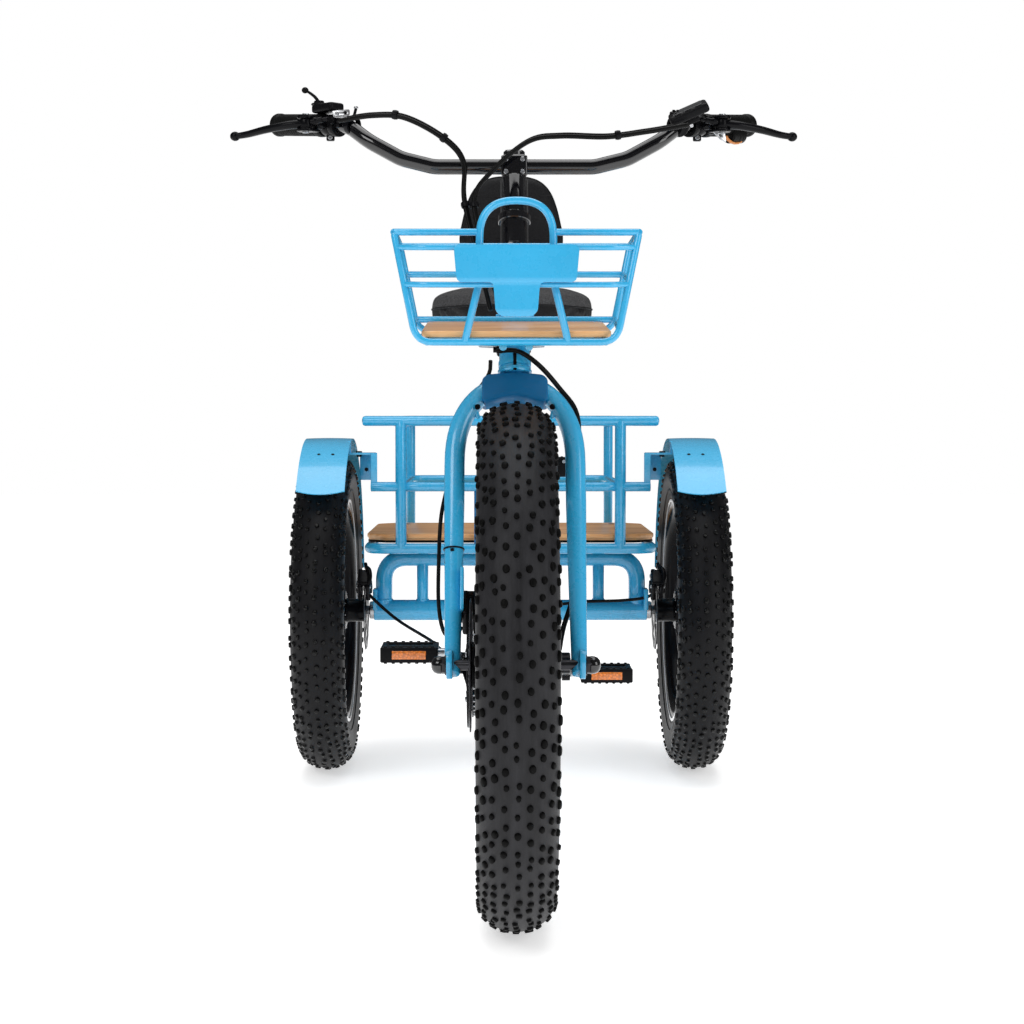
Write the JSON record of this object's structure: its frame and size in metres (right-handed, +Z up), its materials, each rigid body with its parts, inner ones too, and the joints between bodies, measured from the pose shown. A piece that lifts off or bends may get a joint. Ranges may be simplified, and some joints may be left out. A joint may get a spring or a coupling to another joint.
{
  "type": "adult tricycle",
  "caption": "Adult tricycle with fat tyres: step-through frame, front basket, wide seat with backrest, rear cargo rack, swept handlebar, front hub motor and chain drive.",
  "frame": {"origin": "on the ground, under the middle of the bounding box", "axes": "+Z up, -Y forwards, +X to the rider's left"},
  "size_m": [0.8422, 1.9783, 1.169],
  "materials": {
    "blue_paint": "glossy sky-blue paint",
    "black_metal": "satin black coating",
    "alloy": "bright cast alloy",
    "steel": "machined steel",
    "tyre": "knobbed tyre rubber",
    "rubber": "matt rubber",
    "black_plastic": "moulded black plastic",
    "wood": "varnished tan plywood",
    "upholstery": "dark grain upholstery"
  },
  "bodies": {
    "frame": {"main_frame": "blue_paint", "rear_subframe": "blue_paint", "axle_bearing_left": "steel", "axle_bearing_right": "steel", "headset_lower": "black_metal", "headset_upper": "black_metal", "cargo_rack": "blue_paint", "cargo_tray": "black_plastic", "cargo_deck": "wood", "rear_fender_left": "blue_paint", "rear_fender_right": "blue_paint", "basket_frame": "blue_paint", "basket_floor": "wood", "basket_plate": "blue_paint", "battery": "black_plastic", "controller_box": "black_plastic", "chain": "black_metal", "seat_clamp": "black_metal", "rear_caliper_left": "black_metal", "rear_caliper_right": "black_metal"},
    "seat": {"seatpost": "black_metal", "saddle_base": "black_plastic", "saddle_cushion": "upholstery", "backrest_frame": "black_metal", "backrest_cushion": "upholstery"},
    "steering": {"fork": "blue_paint", "front_axle": "black_metal", "front_caliper": "black_metal", "stem_riser": "black_metal", "stem_clamp": "black_metal", "handlebar": "black_metal", "grip_left": "rubber", "grip_right": "rubber", "brake_bracket_left": "alloy", "brake_bracket_right": "alloy", "shifter_body": "black_plastic", "display": "black_plastic", "cable_left": "rubber", "cable_right": "rubber", "motor_cable": "rubber"},
    "front_wheel": {"front_tyre": "tyre", "front_rim": "black_metal", "front_hub_motor": "black_metal", "front_brake_rotor": "steel"},
    "rear_wheel_left": {"rear_tyre_left": "tyre", "rear_rim_left": "black_metal", "rear_hub_left": "black_metal", "rear_rotor_left": "steel"},
    "rear_wheel_right": {"rear_tyre_right": "tyre", "rear_rim_right": "black_metal", "rear_hub_right": "black_metal", "rear_rotor_right": "steel", "axle_shaft": "steel"},
    "rear_sprocket": {"sprocket": "steel"},
    "crank": {"crankset": "black_metal"},
    "left_pedal": {"pedal_left": "black_plastic"},
    "right_pedal": {"pedal_right": "black_plastic"},
    "left_brake_lever": {"brake_lever_left": "black_metal"},
    "right_brake_lever": {"brake_lever_right": "black_metal"},
    "shifter_lever": {"shift_lever": "black_plastic"}
  },
  "joints": [
    {"name": "steer", "type": "hinge", "parent": "frame", "child": "steering", "pos_m": [0, -0.59, 0.34831], "axis": [0, 0.3584, 0.9336], "range_deg": [-40, 40]},
    {"name": "front_wheel_spin", "type": "hinge", "parent": "steering", "child": "front_wheel", "pos_m": [0, -0.64, 0.34831], "axis": [1, 0, 0], "continuous": true},
    {"name": "rear_wheel_left_spin", "type": "hinge", "parent": "frame", "child": "rear_wheel_left", "pos_m": [0.35, 0.61, 0.30308], "axis": [1, 0, 0], "continuous": true},
    {"name": "rear_wheel_right_spin", "type": "hinge", "parent": "frame", "child": "rear_wheel_right", "pos_m": [-0.35, 0.61, 0.30308], "axis": [1, 0, 0], "continuous": true},
    {"name": "crank_spin", "type": "hinge", "parent": "frame", "child": "crank", "pos_m": [0, -0.01, 0.275], "axis": [1, 0, 0], "continuous": true},
    {"name": "sprocket_spin", "type": "hinge", "parent": "frame", "child": "rear_sprocket", "pos_m": [-0.062, 0.61, 0.30308], "axis": [1, 0, 0], "continuous": true},
    {"name": "pedal_left_spin", "type": "hinge", "parent": "crank", "child": "left_pedal", "pos_m": [0.16, 0.15591, 0.23791], "axis": [1, 0, 0], "continuous": true},
    {"name": "pedal_right_spin", "type": "hinge", "parent": "crank", "child": "right_pedal", "pos_m": [-0.16, -0.17591, 0.31209], "axis": [1, 0, 0], "continuous": true},
    {"name": "brake_left", "type": "hinge", "parent": "steering", "child": "left_brake_lever", "pos_m": [0.306, -0.29949, 1.106], "axis": [0, 0, 1], "range_deg": [0, 18], "stiffness_Nm_per_rad": 1.5},
    {"name": "brake_right", "type": "hinge", "parent": "steering", "child": "right_brake_lever", "pos_m": [-0.306, -0.29949, 1.106], "axis": [0, 0, -1], "range_deg": [0, 18], "stiffness_Nm_per_rad": 1.5},
    {"name": "shift", "type": "hinge", "parent": "steering", "child": "shifter_lever", "pos_m": [-0.2905, -0.2492, 1.14704], "axis": [0, 0, 1], "range_deg": [-40, 30]},
    {"name": "seat_height", "type": "slide", "parent": "frame", "child": "seat", "axis": [0, 0.309, 0.9511], "range_m": [-0.08, 0.06]}
  ],
  "couplings": [
    {"joint": "sprocket_spin", "follows": "crank_spin", "ratio": 2.1}
  ]
}
